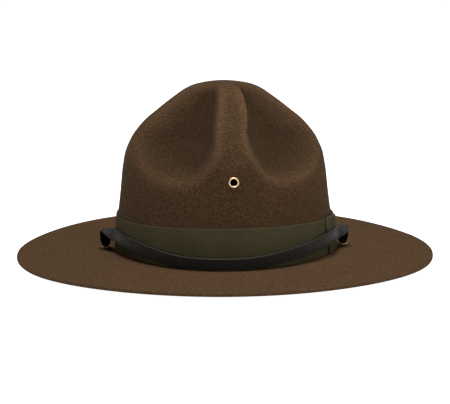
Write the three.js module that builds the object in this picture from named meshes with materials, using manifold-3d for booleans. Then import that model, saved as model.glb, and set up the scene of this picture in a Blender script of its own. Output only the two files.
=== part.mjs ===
// A felt campaign hat: a four-dent peaked crown and a flat wide brim in one piece of felt,
// a ribbon band with a flat bow on the wearer's left, a leather chin strap and three brass eyelets.
// Millimetres, +Z up. The front faces -Y and the wearer's left is +X.
// The origin is the middle of the hat's plan, on the surface that the brim rests on.
// Bearings are degrees round the crown's oval: 0 is the wearer's left side, -90 the front, 90 the back.

import * as THREE from 'three';
import Module from 'manifold-3d';

const wasm = await Module();
wasm.setup();

// Felt
const CROWN_HALF_WIDTH = 86;
const CROWN_HALF_LENGTH = 102;
const CROWN_HEIGHT = 131.6;
const CROWN_WALL = 2.2;
const BRIM_WIDTH = 79;
const BRIM_THICKNESS = 2.4;
const BRIM_FOOT_HEIGHT = 3.4;
const BRIM_END_LIFT = 2.6;
const BRIM_FLAT_SHARE = 0.1;
const BRIM_LIFT_START = 0.3;
const EDGE_ROUND = 0.7;

// Ribbon band and bow
const GAP = 0.3;
const BAND_WIDTH = 29;
const BAND_THICKNESS = 1;
const BAND_TOP_WAVE = 1.8;
const BOW_BEARING = 0;
const BOW_FRONT_LENGTH = 53;
const BOW_REAR_LENGTH = 45;
const BOW_THICKNESS = 1.5;
const BOW_RISE = 0.6;
const BOW_PINCH_REACH = 0.62;
const BOW_FOLD_START = 0.93;
const BOW_FOLD_THINNING = 0.35;
const BOW_GATHERS = 3;
const BOW_GATHER_DEPTH = 0.5;
const BOW_PINCH_SHARE = 0.74;
const KNOT_WIDTH = 13;
const KNOT_THICKNESS = 2.2;
const KNOT_EDGE_THICKNESS = 1.76;

// Leather chin strap and its slide
const STRAP_WIDTH = 9.5;
const STRAP_THICKNESS = 1.6;
const STRAP_STANDOFF = 0.45;
const STRAP_ARCH_HEIGHT = 15;
const STRAP_ARCH_RADIUS = 3.2;
const STRAP_FOLD_RADIUS = 1.5;
const STRAP_FLOOR_CLEARANCE = 0.35;
const STRAP_BORE_CLEARANCE = 0.42;
const STRAP_BORE_TURN = 14.5;
const SLIDE_LENGTH = 8;
const SLIDE_WALL = 1;
const SLIDE_CLEARANCE = 0.4;

// Brass eyelets
const EYELET_BORE_RADIUS = 2.5;
const EYELET_BARREL_WALL = 0.45;
const EYELET_FLANGE_RADIUS = 4.3;
const EYELET_FLANGE_THICKNESS = 0.55;
const EYELET_FLANGE_ROUND = 0.4;
const EYELET_MOUTH_ROUND = 0.45;
const EYELET_BACK_INSET = 0.3;
const EYELET_HOLE_DEPTH = 14;
const CROWN_EYELET_HEIGHT = 64.7;
const BRIM_EYELET_REACH = 8.6;
const BRIM_EYELET_SKEW = 4;

// Mesh fineness
const STEPS_ROUND = 64;
const BOW_STEPS_ALONG = 8;
const BOW_STEPS_UP = 9;
const KNOT_STEPS = 6;
const STRAP_STEPS = 3;
const EYELET_STEPS = 16;
const NORMAL_STEP = 0.002;

const FRONT = -90;
const SIDE = 0;
const UP = new THREE.Vector3(0, 0, 1);
const BRIM_TOP = BRIM_FOOT_HEIGHT + BRIM_THICKNESS;

// The outline of a ridge from the crown's foot to its peak.
// height is a share of CROWN_HEIGHT, reach a share of the crown's half width or half length.
const RIDGE_PROFILE = [
  { height: 0, reach: 1 },
  { height: 0.085, reach: 0.997 },
  { height: 0.17, reach: 0.989 },
  { height: 0.25, reach: 0.974 },
  { height: 0.33, reach: 0.959 },
  { height: 0.405, reach: 0.947 },
  { height: 0.465, reach: 0.938 },
  { height: 0.52, reach: 0.925 },
  { height: 0.575, reach: 0.909 },
  { height: 0.625, reach: 0.88 },
  { height: 0.675, reach: 0.841 },
  { height: 0.725, reach: 0.784 },
  { height: 0.775, reach: 0.713 },
  { height: 0.82, reach: 0.628 },
  { height: 0.87, reach: 0.533 },
  { height: 0.915, reach: 0.44 },
  { height: 0.95, reach: 0.363 },
  { height: 0.978, reach: 0.27 },
  { height: 0.995, reach: 0.14 },
  { height: 1, reach: 0 },
];

// The four dents of the peak. Each is deepest at its bearing, and runs out at toEnd degrees
// towards the front or back ridge and toSide degrees towards the side ridge. narrowing is how many
// of toEnd's degrees go by the peak, depth a multiple of DENT_DEPTH's share, and softness how
// gently the felt rolls over the dent's edge.
const DENTS = [
  { bearing: -57, toEnd: 23, toSide: 43, narrowing: 16, depth: 1, softness: 0.06 },
  { bearing: -123, toEnd: 23, toSide: 43, narrowing: 0, depth: 1.05, softness: 0.12 },
  { bearing: 55, toEnd: 24, toSide: 41, narrowing: 4, depth: 1, softness: 0.1 },
  { bearing: 125, toEnd: 24, toSide: 41, narrowing: 4, depth: 1, softness: 0.1 },
];
const DENT_NARROWING_START = 0.75;
const DENT_LIP = 0.47;
const DENT_CENTRE = 0.7;
// How square a dent's outline and floor are towards the end ridge, the side ridge and the foot.
const DENT_END_ROUNDNESS = 3;
const DENT_SIDE_ROUNDNESS = 1.8;
const DENT_LOW_ROUNDNESS = 1.45;

// How far a dent goes in at each height, as a share of the ridge's own reach there.
const DENT_DEPTH = [
  { height: 0.45, share: 0.22 },
  { height: 0.6, share: 0.28 },
  { height: 0.7, share: 0.33 },
  { height: 0.8, share: 0.35 },
  { height: 0.88, share: 0.32 },
  { height: 0.94, share: 0.25 },
  { height: 0.98, share: 0.12 },
  { height: 1, share: 0 },
];

// Distances across the brim, as shares of BRIM_WIDTH from the crown's foot outwards.
const BRIM_RINGS = [0.24, 0.56, 1 - BRIM_FLAT_SHARE];

// The strap's run round the front of the crown: bearing, the height of its middle line above the
// brim as a share of STRAP_WIDTH, its lean off the band in degrees, and its share of the bow's relief.
const STRAP_FRONT_RUN = [
  { bearing: -168, height: 1.43, lean: 10, overBow: 0 },
  { bearing: -157, height: 1.34, lean: 4, overBow: 0 },
  { bearing: -146, height: 1.22, lean: 0, overBow: 0 },
  { bearing: -134, height: 0.95, lean: -4, overBow: 0 },
  { bearing: -122, height: 0.68, lean: -10, overBow: 0 },
  { bearing: -110, height: 0.54, lean: -15, overBow: 0 },
  { bearing: -97, height: 0.53, lean: -17, overBow: 0 },
  { bearing: -84, height: 0.56, lean: -15, overBow: 0 },
  { bearing: -72, height: 0.7, lean: -10, overBow: 0 },
  { bearing: -59, height: 0.98, lean: -5, overBow: 0 },
  { bearing: -47, height: 1.2, lean: 0, overBow: 0.35 },
  { bearing: -36, height: 1.44, lean: 3, overBow: 1 },
  { bearing: -25, height: 1.53, lean: 6, overBow: 1 },
];

// The strap's turn off the crown's side and over towards a brim eyelet: out is a share of
// BRIM_EYELET_REACH, back of STRAP_WIDTH and up of STRAP_ARCH_HEIGHT, all from the eyelet, and
// turn the degrees it has turned from on edge to flat. On the wearer's left it leaves the bow.
const STRAP_TURN_LEFT = [
  { out: -0.93, back: -2.15, up: 0.9, turn: 9, overBow: 1 },
  { out: -0.42, back: -1.42, up: 0.945, turn: 46, overBow: 0.5 },
  { out: -0.07, back: -0.79, up: 0.98, turn: 78, overBow: 0 },
];
const STRAP_TURN_RIGHT = [
  { out: -0.64, back: -2, up: 0.965, turn: 33, overBow: 0 },
  { out: -0.36, back: -1.32, up: 1.025, turn: 68, overBow: 0 },
  { out: -0.14, back: -0.74, up: 1.03, turn: 80, overBow: 0 },
];

// The strap going over the arch and down into the eyelet: back and down are shares of
// STRAP_ARCH_RADIUS, up a share of STRAP_ARCH_HEIGHT and width one of STRAP_WIDTH.
const STRAP_ARCH = [
  { back: -1, down: 0, turn: 83, width: 0.96 },
  { back: -0.29, down: 0.29, turn: 90, width: 0.9 },
];
const STRAP_DROP = [
  { up: 0.77, width: 0.8 },
  { up: 0.4, width: 0.62 },
];

// The strap under the brim: along is a share of the way from the eyelet to the head opening's
// wall, turn the degrees it has turned from flat to on edge, width a share of STRAP_WIDTH.
const STRAP_UNDER_RUN = [
  { along: 0.07, turn: 0, width: 0.6 },
  { along: 0.18, turn: 0, width: 1 },
  { along: 0.41, turn: 0, width: 1 },
  { along: 0.6, turn: 4, width: 1 },
  { along: 0.73, turn: 32, width: 1 },
  { along: 0.85, turn: 64, width: 1 },
];

// Bearings of the strap's stations behind the head.
const STRAP_BACK_BEARINGS = [42, 54, 66, 78, 90, 102, 114, 126, 138];

// The strap's cross-section: across is a share of half its width, through of half its thickness.
const STRAP_SECTION = [
  { across: -1, through: -1 },
  { across: 1, through: -1 },
  { across: 1, through: 0.6 },
  { across: 0.8, through: 1 },
  { across: -0.8, through: 1 },
  { across: -1, through: 0.6 },
];

// Rows up the band, as shares of its width.
const BAND_ROWS = [0, 0.38, 0.76, 1];

// The knot's upright section: up is a share of its height, out a share of its thickness.
const KNOT_SECTION = [
  { up: -0.5, out: 0 },
  { up: 0, out: 0 },
  { up: 0.5, out: 0 },
  { up: 0.5, out: 0.55 },
  { up: 0.42, out: 1 },
  { up: 0, out: 1 },
  { up: -0.42, out: 1 },
  { up: -0.5, out: 0.55 },
];

function radians(degrees) {
  return degrees * Math.PI / 180;
}

function clamp01(value) {
  return Math.min(1, Math.max(0, value));
}

function smooth01(value) {
  const t = clamp01(value);
  return t * t * (3 - 2 * t);
}

// A smooth value between a table's rows, straight outside them.
function tableValue(table, key, column, x) {
  let row = 0;
  while (row < table.length - 2 && x > table[row + 1][key]) {
    row += 1;
  }
  const slope = (i) => {
    const before = table[Math.max(0, i - 1)];
    const after = table[Math.min(table.length - 1, i + 1)];
    return (after[column] - before[column]) / (after[key] - before[key]);
  };
  const low = table[row];
  const high = table[row + 1];
  const span = high[key] - low[key];
  const t = clamp01((x - low[key]) / span);
  const t2 = t * t;
  const t3 = t2 * t;
  return low[column] * (2 * t3 - 3 * t2 + 1) + high[column] * (3 * t2 - 2 * t3)
    + span * (slope(row) * (t3 - 2 * t2 + t) + slope(row + 1) * (t3 - t2));
}

const ridgeCurve = new THREE.SplineCurve(
  RIDGE_PROFILE.map((row) => new THREE.Vector2(row.reach, row.height)),
);

// The place on the ridge's curve, from 0 to 1, at a height above the foot in shares.
function ridgePlaceAtHeight(height) {
  let low = 0;
  let high = 1;
  for (let step = 0; step < 24; step += 1) {
    const middle = (low + high) / 2;
    if (ridgeCurve.getPoint(middle).y < height) {
      low = middle;
    } else {
      high = middle;
    }
  }
  return (low + high) / 2;
}

function bearingGap(a, b) {
  const gap = ((a - b) % 360 + 540) % 360 - 180;
  return Math.abs(gap);
}

// The share of the reach that the dents take away.
function dentShare(bearing, height) {
  let share = 0;
  for (const dent of DENTS) {
    const gap = bearingGap(bearing, dent.bearing);
    const endwards = Math.abs(Math.sin(radians(bearing))) > Math.abs(Math.sin(radians(dent.bearing)));
    const narrowed = clamp01((height - DENT_NARROWING_START) / (1 - DENT_NARROWING_START));
    const toEnd = dent.toEnd - dent.narrowing * narrowed;
    const across = gap / (endwards ? toEnd : dent.toSide);
    const roundness = endwards ? DENT_END_ROUNDNESS : DENT_SIDE_ROUNDNESS;
    const below = Math.max(0, (DENT_CENTRE - height) / (DENT_CENTRE - DENT_LIP));
    const inside = 1 - across ** roundness - below ** DENT_LOW_ROUNDNESS;
    const bowl = (inside + Math.hypot(inside, dent.softness)) / 2;
    share += dent.depth * bowl * tableValue(DENT_DEPTH, 'height', 'share', height);
  }
  return share;
}

// A point on the crown's outer face, by bearing and by place on the ridge's curve.
function crownOuter(bearing, place) {
  const ridge = ridgeCurve.getPoint(place);
  const reach = ridge.x * (1 - dentShare(bearing, ridge.y));
  const angle = radians(bearing);
  return new THREE.Vector3(
    CROWN_HALF_WIDTH * reach * Math.cos(angle),
    CROWN_HALF_LENGTH * reach * Math.sin(angle),
    BRIM_TOP + CROWN_HEIGHT * ridge.y,
  );
}

function crownNormal(bearing, place) {
  const round = crownOuter(bearing + 1, place).sub(crownOuter(bearing - 1, place));
  const up = crownOuter(bearing, Math.min(1, place + NORMAL_STEP));
  up.sub(crownOuter(bearing, Math.max(0, place - NORMAL_STEP)));
  return round.cross(up).normalize();
}

function crownInner(bearing, place) {
  return crownOuter(bearing, place).addScaledVector(crownNormal(bearing, place), -CROWN_WALL);
}

// A point beside the plain lower wall of the crown, by height above the floor and distance out.
function besideWall(bearing, z, out) {
  const place = ridgePlaceAtHeight((z - BRIM_TOP) / CROWN_HEIGHT);
  const point = crownOuter(bearing, Math.max(0, place));
  point.z = z;
  return point.addScaledVector(outward(bearing), out);
}

// The level direction square to the crown's oval.
function outward(bearing) {
  const angle = radians(bearing);
  return new THREE.Vector3(
    Math.cos(angle) / CROWN_HALF_WIDTH,
    Math.sin(angle) / CROWN_HALF_LENGTH,
    0,
  ).normalize();
}

// The brim's underside: flat on the floor at the sides, lifted a little at the front and back.
function brimUnder(bearing, share) {
  const angle = radians(bearing);
  const towardsEnd = (Math.abs(Math.sin(angle)) - BRIM_LIFT_START) / (1 - BRIM_LIFT_START);
  const rimLift = BRIM_END_LIFT * smooth01(towardsEnd);
  const inwards = clamp01(1 - share / (1 - BRIM_FLAT_SHARE));
  const width = share * BRIM_WIDTH;
  return new THREE.Vector3(
    (CROWN_HALF_WIDTH + width) * Math.cos(angle),
    (CROWN_HALF_LENGTH + width) * Math.sin(angle),
    BRIM_FOOT_HEIGHT * inwards + rimLift * (1 - inwards),
  );
}

function brimTop(bearing, share) {
  const point = brimUnder(bearing, share);
  point.z += BRIM_THICKNESS;
  return point;
}

// A closed mesh from rows of points. Each row is a ring. The last row joins the first one, or
// each end closes on a point.
function solidFromRings(rings, ends) {
  const count = rings[0].length;
  const positions = [];
  const triangles = [];
  for (const ring of rings) {
    for (const point of ring) {
      positions.push(point.x, point.y, point.z);
    }
  }
  const links = ends ? rings.length - 1 : rings.length;
  for (let r = 0; r < links; r += 1) {
    const here = r * count;
    const next = ((r + 1) % rings.length) * count;
    for (let i = 0; i < count; i += 1) {
      const j = (i + 1) % count;
      triangles.push(here + i, here + j, next + i);
      triangles.push(next + i, here + j, next + j);
    }
  }
  if (ends) {
    const first = positions.length / 3;
    positions.push(ends[0].x, ends[0].y, ends[0].z);
    positions.push(ends[1].x, ends[1].y, ends[1].z);
    const last = (rings.length - 1) * count;
    for (let i = 0; i < count; i += 1) {
      const j = (i + 1) % count;
      triangles.push(first, j, i);
      triangles.push(first + 1, last + i, last + j);
    }
  }
  return facingOut(positions, triangles);
}

function middleOf(points) {
  const sum = new THREE.Vector3();
  for (const point of points) {
    sum.add(point);
  }
  return sum.divideScalar(points.length);
}

// Turns the triangles over where they face into the solid.
function facingOut(positions, triangles) {
  const corner = (i) => new THREE.Vector3().fromArray(positions, triangles[i] * 3);
  let volume = 0;
  for (let i = 0; i < triangles.length; i += 3) {
    volume += corner(i).dot(corner(i + 1).cross(corner(i + 2)));
  }
  const order = [...triangles];
  if (volume < 0) {
    order.reverse();
  }
  const geometry = new THREE.BufferGeometry();
  geometry.setAttribute('position', new THREE.Float32BufferAttribute(positions, 3));
  geometry.setIndex(order);
  return geometry;
}

function ringOf(pointAt) {
  const ring = [];
  for (let i = 0; i < STEPS_ROUND; i += 1) {
    ring.push(pointAt(SIDE + i * 360 / STEPS_ROUND));
  }
  return ring;
}

// Cuts round holes through a solid.
function withHoles(geometry, holes) {
  const solidOf = (shape) => new wasm.Manifold(new wasm.Mesh({
    numProp: 3,
    vertProperties: Float32Array.from(shape.getAttribute('position').array),
    triVerts: Uint32Array.from(shape.getIndex().array),
  }));
  let solid = solidOf(geometry);
  for (const hole of holes) {
    solid = solid.subtract(solidOf(hole));
  }
  const mesh = solid.getMesh();
  const cut = new THREE.BufferGeometry();
  cut.setAttribute('position', new THREE.Float32BufferAttribute(mesh.vertProperties, 3));
  cut.setIndex([...mesh.triVerts]);
  return cut;
}

// A round bar along a direction, for cutting an eyelet's hole.
function holeBar(centre, direction, radius, length) {
  const spin = new THREE.Quaternion().setFromUnitVectors(UP, direction);
  const ring = (along) => {
    const points = [];
    for (let i = 0; i < EYELET_STEPS; i += 1) {
      const angle = i / EYELET_STEPS * 2 * Math.PI;
      const point = new THREE.Vector3(radius * Math.cos(angle), radius * Math.sin(angle), along);
      points.push(point.applyQuaternion(spin).add(centre));
    }
    return points;
  };
  const rings = [ring(-length / 2), ring(length / 2)];
  return solidFromRings(rings, rings.map(middleOf));
}

// Where each eyelet stands: the middle of the felt's outer face there, and the way it faces.
// The brim's two stand askew, the wearer's left one a little further forward.
function crownEyeletSeat() {
  const place = ridgePlaceAtHeight(CROWN_EYELET_HEIGHT / CROWN_HEIGHT);
  return { centre: crownOuter(FRONT, place), facing: crownNormal(FRONT, place) };
}

function brimEyeletSeat(side) {
  const x = CROWN_HALF_WIDTH + BRIM_EYELET_REACH;
  const share = BRIM_EYELET_REACH / BRIM_WIDTH;
  const centre = new THREE.Vector3(side * x, -side * BRIM_EYELET_SKEW, brimTop(SIDE, share).z);
  const slope = BRIM_FOOT_HEIGHT / (BRIM_WIDTH * (1 - BRIM_FLAT_SHARE));
  return { centre, facing: new THREE.Vector3(side * slope, 0, 1).normalize() };
}

function feltBody() {
  const places = RIDGE_PROFILE.slice(0, -1).map((row, i) => i / (RIDGE_PROFILE.length - 1));
  const footInner = (bearing, share) => {
    const point = brimUnder(bearing, 0);
    return point.addScaledVector(outward(bearing), -CROWN_WALL * share);
  };
  const rings = [];
  for (const place of places.slice(1).reverse()) {
    rings.push(ringOf((bearing) => crownInner(bearing, place)));
  }
  rings.push(ringOf((bearing) => footInner(bearing, 1).addScaledVector(UP, BRIM_THICKNESS)));
  rings.push(ringOf((bearing) => footInner(bearing, 0)));
  for (const share of BRIM_RINGS) {
    rings.push(ringOf((bearing) => brimUnder(bearing, share)));
  }
  const edgeShare = 1 - EDGE_ROUND / BRIM_WIDTH;
  const lifted = (bearing, share, up) => brimUnder(bearing, share).addScaledVector(UP, up);
  rings.push(ringOf((bearing) => brimUnder(bearing, edgeShare)));
  rings.push(ringOf((bearing) => lifted(bearing, 1, EDGE_ROUND)));
  rings.push(ringOf((bearing) => lifted(bearing, 1, BRIM_THICKNESS - EDGE_ROUND)));
  rings.push(ringOf((bearing) => brimTop(bearing, edgeShare)));
  for (const share of [...BRIM_RINGS].reverse()) {
    rings.push(ringOf((bearing) => brimTop(bearing, share)));
  }
  for (const place of places) {
    rings.push(ringOf((bearing) => crownOuter(bearing, place)));
  }
  const peak = crownOuter(SIDE, 1);
  const body = solidFromRings(rings, [peak.clone().addScaledVector(UP, -CROWN_WALL), peak]);
  const radius = EYELET_BORE_RADIUS + EYELET_BARREL_WALL + GAP;
  const seats = [crownEyeletSeat(), brimEyeletSeat(-1), brimEyeletSeat(1)];
  const bars = seats.map((seat) => holeBar(seat.centre, seat.facing, radius, EYELET_HOLE_DEPTH));
  return withHoles(body, bars);
}

// The band's width at a bearing. Its upper edge stands highest at the front and back.
function bandWidth(bearing) {
  return BAND_WIDTH - BAND_TOP_WAVE * Math.cos(2 * radians(bearing));
}

// The ribbon band: a thin hoop that follows the crown's wall.
function hatBand() {
  const point = (bearing, share, out) => (
    besideWall(bearing, BRIM_TOP + GAP + share * bandWidth(bearing), out)
  );
  const rings = [];
  for (const share of BAND_ROWS) {
    rings.push(ringOf((bearing) => point(bearing, share, GAP)));
  }
  for (const share of [...BAND_ROWS].reverse()) {
    rings.push(ringOf((bearing) => point(bearing, share, GAP + BAND_THICKNESS)));
  }
  return solidFromRings(rings, null);
}

// One flat loop of the bow: two layers of ribbon pressed together, gathered towards the knot.
// along runs from the knot to the fold at the far end, up across the ribbon.
function bowLoop(direction, length) {
  const low = BRIM_TOP + GAP;
  const seat = GAP + BAND_THICKNESS + GAP;
  const start = KNOT_WIDTH / 2 + GAP;
  const point = (along, up, outer) => {
    const travelled = start + along * (length - start);
    const bearing = BOW_BEARING + direction * travelled / CROWN_HALF_LENGTH * 180 / Math.PI;
    const height = bandWidth(bearing) + BOW_RISE;
    const spread = smooth01(along / BOW_PINCH_REACH);
    const pinch = BOW_PINCH_SHARE + (1 - BOW_PINCH_SHARE) * spread;
    const gather = (1 - spread) * BOW_GATHER_DEPTH;
    const wave = gather * Math.cos(2 * Math.PI * BOW_GATHERS * up);
    const z = low + height / 2 + (up - 0.5) * height * pinch;
    const folded = smooth01((along - BOW_FOLD_START) / (1 - BOW_FOLD_START));
    const thickness = BOW_THICKNESS * (1 - BOW_FOLD_THINNING * folded);
    return besideWall(bearing, z, seat + outer * (wave + thickness));
  };
  const rings = [];
  for (let i = 0; i <= BOW_STEPS_ALONG; i += 1) {
    const along = i / BOW_STEPS_ALONG;
    const ring = [];
    for (let j = 0; j <= BOW_STEPS_UP; j += 1) {
      ring.push(point(along, j / BOW_STEPS_UP, 0));
    }
    for (let j = BOW_STEPS_UP; j >= 0; j -= 1) {
      ring.push(point(along, j / BOW_STEPS_UP, 1));
    }
    rings.push(ring);
  }
  return solidFromRings(rings, [middleOf(rings[0]), middleOf(rings[rings.length - 1])]);
}

// The short strip of ribbon that wraps the middle of the bow.
function bowKnot() {
  const ribbonHeight = bandWidth(BOW_BEARING) + BOW_RISE;
  const height = ribbonHeight * BOW_PINCH_SHARE + 2 * GAP;
  const middle = BRIM_TOP + GAP + ribbonHeight / 2;
  const seat = GAP + BAND_THICKNESS + GAP;
  const rings = [];
  for (let i = 0; i <= KNOT_STEPS; i += 1) {
    const across = i / KNOT_STEPS * 2 - 1;
    const bearing = BOW_BEARING + across * KNOT_WIDTH / 2 / CROWN_HALF_LENGTH * 180 / Math.PI;
    const swell = KNOT_EDGE_THICKNESS
      + (KNOT_THICKNESS - KNOT_EDGE_THICKNESS) * Math.sqrt(1 - across * across);
    const ring = [];
    for (const corner of KNOT_SECTION) {
      ring.push(besideWall(bearing, middle + corner.up * height, seat + corner.out * swell));
    }
    rings.push(ring);
  }
  return solidFromRings(rings, [middleOf(rings[0]), middleOf(rings[rings.length - 1])]);
}

// The strap's stations, as a loop: a place on its middle line, the way its lower edge points
// and the share of its width that it has there.
function frontStation(row) {
  const lean = radians(row.lean);
  const bowRelief = row.overBow * (GAP + BOW_THICKNESS + BOW_GATHER_DEPTH / 2);
  const seat = GAP + BAND_THICKNESS + STRAP_STANDOFF + STRAP_THICKNESS / 2 + bowRelief;
  const out = seat + STRAP_WIDTH / 2 * Math.abs(Math.sin(lean));
  const z = BRIM_TOP + row.height * STRAP_WIDTH;
  const edge = UP.clone().multiplyScalar(-Math.cos(lean));
  edge.addScaledVector(outward(row.bearing), Math.sin(lean));
  return { at: besideWall(row.bearing, z, out), edge, width: 1 };
}

// The strap's stations over the brim, down through its eyelet and in under the brim.
function hookStations(side) {
  const eyelet = brimEyeletSeat(side).centre;
  const station = (out, back, up, edge, width) => ({
    at: new THREE.Vector3(eyelet.x + side * out, eyelet.y + back, eyelet.z + up),
    edge: new THREE.Vector3(side * edge[0], edge[1], edge[2]).normalize(),
    width,
  });
  const turned = (degrees) => [Math.sin(radians(degrees)), 0, -Math.cos(radians(degrees))];
  const clearBore = EYELET_BORE_RADIUS - STRAP_BORE_CLEARANCE;
  const boreShare = 2 * Math.sqrt(clearBore ** 2 - (STRAP_THICKNESS / 2) ** 2) / STRAP_WIDTH;
  const boreEdge = [Math.cos(radians(STRAP_BORE_TURN)), Math.sin(radians(STRAP_BORE_TURN)), 0];
  const rows = (side > 0 ? STRAP_TURN_LEFT : STRAP_TURN_RIGHT).map((row) => station(
    row.out * BRIM_EYELET_REACH + row.overBow * BOW_THICKNESS,
    row.back * STRAP_WIDTH,
    row.up * STRAP_ARCH_HEIGHT,
    turned(row.turn),
    1,
  ));
  for (const row of STRAP_ARCH) {
    const up = STRAP_ARCH_HEIGHT - row.down * STRAP_ARCH_RADIUS;
    rows.push(station(0, row.back * STRAP_ARCH_RADIUS, up, turned(row.turn), row.width));
  }
  for (const row of STRAP_DROP) {
    rows.push(station(0, 0, row.up * STRAP_ARCH_HEIGHT, turned(90), row.width));
  }

  const wall = backStation(side > 0 ? STRAP_BACK_BEARINGS[0] : STRAP_BACK_BEARINGS.at(-1)).at;
  const way = new THREE.Vector3(side * (wall.x - eyelet.x), wall.y - eyelet.y, 0);
  const reach = way.length();
  const heading = way.clone().normalize();
  const across = [heading.y, -heading.x, 0];
  const flat = STRAP_FLOOR_CLEARANCE + STRAP_THICKNESS / 2 - eyelet.z;
  const under = (distance, up, turn, width) => {
    const edge = [
      across[0] * Math.cos(radians(turn)),
      across[1] * Math.cos(radians(turn)),
      -Math.sin(radians(turn)),
    ];
    return station(heading.x * distance, heading.y * distance, up, edge, width);
  };
  rows.push(station(0, 0, GAP + EYELET_FLANGE_THICKNESS, boreEdge, boreShare));
  rows.push(station(0, 0, -BRIM_THICKNESS - GAP, across, boreShare));
  const foldMiddle = STRAP_FOLD_RADIUS * (1 - Math.SQRT1_2);
  rows.push(under(foldMiddle, flat + foldMiddle, 0, boreShare));
  rows.push(under(STRAP_FOLD_RADIUS, flat, 0, boreShare));
  for (const row of STRAP_UNDER_RUN) {
    const rise = STRAP_WIDTH / 2 * Math.sin(radians(row.turn));
    rows.push(under(row.along * reach, flat + rise, row.turn, row.width));
  }
  return rows;
}

function backStation(bearing) {
  const inset = CROWN_WALL + 2 * GAP + SLIDE_WALL + SLIDE_CLEARANCE + STRAP_THICKNESS / 2;
  const z = STRAP_FLOOR_CLEARANCE + SLIDE_WALL + SLIDE_CLEARANCE + STRAP_WIDTH / 2;
  const top = z + STRAP_WIDTH / 2 + SLIDE_CLEARANCE + SLIDE_WALL;
  const at = besideWall(bearing, Math.max(top, BRIM_TOP), -inset);
  at.z = z;
  return { at, edge: UP.clone().negate(), width: 1 };
}

function strapStations() {
  const right = hookStations(1);
  const left = hookStations(-1).reverse();
  const back = STRAP_BACK_BEARINGS.map(backStation);
  return [...STRAP_FRONT_RUN.map(frontStation), ...right, ...back, ...left];
}

function chinStrap() {
  const stations = strapStations();
  const path = new THREE.CatmullRomCurve3(stations.map((s) => s.at), true, 'centripetal');
  const edges = new THREE.CatmullRomCurve3(stations.map((s) => s.edge), true, 'centripetal');
  const rings = [];
  for (let i = 0; i < stations.length; i += 1) {
    for (let k = 0; k < STRAP_STEPS; k += 1) {
      const share = k / STRAP_STEPS;
      const place = (i + share) / stations.length;
      const along = path.getTangent(place);
      const edge = edges.getPoint(place);
      edge.addScaledVector(along, -edge.dot(along)).normalize();
      const face = edge.clone().cross(along).normalize();
      const next = stations[(i + 1) % stations.length];
      const width = STRAP_WIDTH * THREE.MathUtils.lerp(stations[i].width, next.width, share);
      rings.push(STRAP_SECTION.map((corner) => path.getPoint(place)
        .addScaledVector(edge, corner.across * width / 2)
        .addScaledVector(face, corner.through * STRAP_THICKNESS / 2)));
    }
  }
  return solidFromRings(rings, null);
}

// The plain slide that closes the strap behind the head.
function strapSlide() {
  const centre = backStation(90).at;
  const halfLength = SLIDE_LENGTH / 2;
  const ring = (x, wall) => {
    const deep = STRAP_THICKNESS / 2 + SLIDE_CLEARANCE + wall;
    const tall = STRAP_WIDTH / 2 + SLIDE_CLEARANCE + wall;
    return [[-1, -1], [1, -1], [1, 1], [-1, 1]].map(([y, z]) => new THREE.Vector3(
      centre.x + x,
      centre.y + y * deep,
      centre.z + z * tall,
    ));
  };
  const rings = [
    ring(-halfLength, SLIDE_WALL),
    ring(halfLength, SLIDE_WALL),
    ring(halfLength, 0),
    ring(-halfLength, 0),
  ];
  return solidFromRings(rings, null);
}

// An eyelet: a barrel through the felt with a rolled flange on each face of it.
function eyeletGeometry(feltThickness) {
  const bore = EYELET_BORE_RADIUS;
  const barrel = bore + EYELET_BARREL_WALL;
  const rim = EYELET_FLANGE_RADIUS;
  const backRim = rim - EYELET_BACK_INSET;
  const thick = EYELET_FLANGE_THICKNESS;
  const seat = GAP;
  const backSeat = -feltThickness - GAP;
  const halfThick = thick / 2;
  const profile = [
    [bore, backSeat - halfThick],
    [bore, seat + halfThick],
    [bore + EYELET_MOUTH_ROUND, seat + thick],
    [rim - EYELET_FLANGE_ROUND, seat + thick],
    [rim, seat + halfThick],
    [rim, seat],
    [barrel, seat],
    [barrel, backSeat],
    [backRim, backSeat],
    [backRim, backSeat - thick],
    [bore + EYELET_MOUTH_ROUND, backSeat - thick],
    [bore, backSeat - halfThick],
  ];
  const lathe = new THREE.LatheGeometry(
    profile.reverse().map(([r, z]) => new THREE.Vector2(r, z)),
    EYELET_STEPS,
  );
  lathe.rotateX(Math.PI / 2);
  return lathe;
}

const felt = new THREE.MeshStandardMaterial({ color: 0x4b3929, roughness: 0.95 });
const ribbon = new THREE.MeshStandardMaterial({ color: 0x3b3626, roughness: 0.8 });
const leather = new THREE.MeshStandardMaterial({ color: 0x191816, roughness: 0.4 });
const brass = new THREE.MeshStandardMaterial({ color: 0xb08d4a, roughness: 0.3, metalness: 1 });

const hat = new THREE.Group();

function addPiece(name, geometry, material, seat) {
  const mesh = new THREE.Mesh(geometry, material.clone());
  mesh.name = name;
  if (seat) {
    mesh.position.copy(seat.centre);
    mesh.quaternion.setFromUnitVectors(UP, seat.facing);
  }
  hat.add(mesh);
}

addPiece('felt_body', feltBody(), felt);
addPiece('hat_band', hatBand(), ribbon);
addPiece('bow_front_loop', bowLoop(-1, BOW_FRONT_LENGTH), ribbon);
addPiece('bow_rear_loop', bowLoop(1, BOW_REAR_LENGTH), ribbon);
addPiece('bow_knot', bowKnot(), ribbon);
addPiece('chin_strap', chinStrap(), leather);
addPiece('strap_slide', strapSlide(), brass);
addPiece('crown_eyelet', eyeletGeometry(CROWN_WALL + GAP), brass, crownEyeletSeat());
addPiece('brim_eyelet_left', eyeletGeometry(BRIM_THICKNESS), brass, brimEyeletSeat(1));
addPiece('brim_eyelet_right', eyeletGeometry(BRIM_THICKNESS), brass, brimEyeletSeat(-1));

export default hat;
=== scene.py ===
import math

import bpy
import numpy as np
from mathutils import Matrix, Vector


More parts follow.
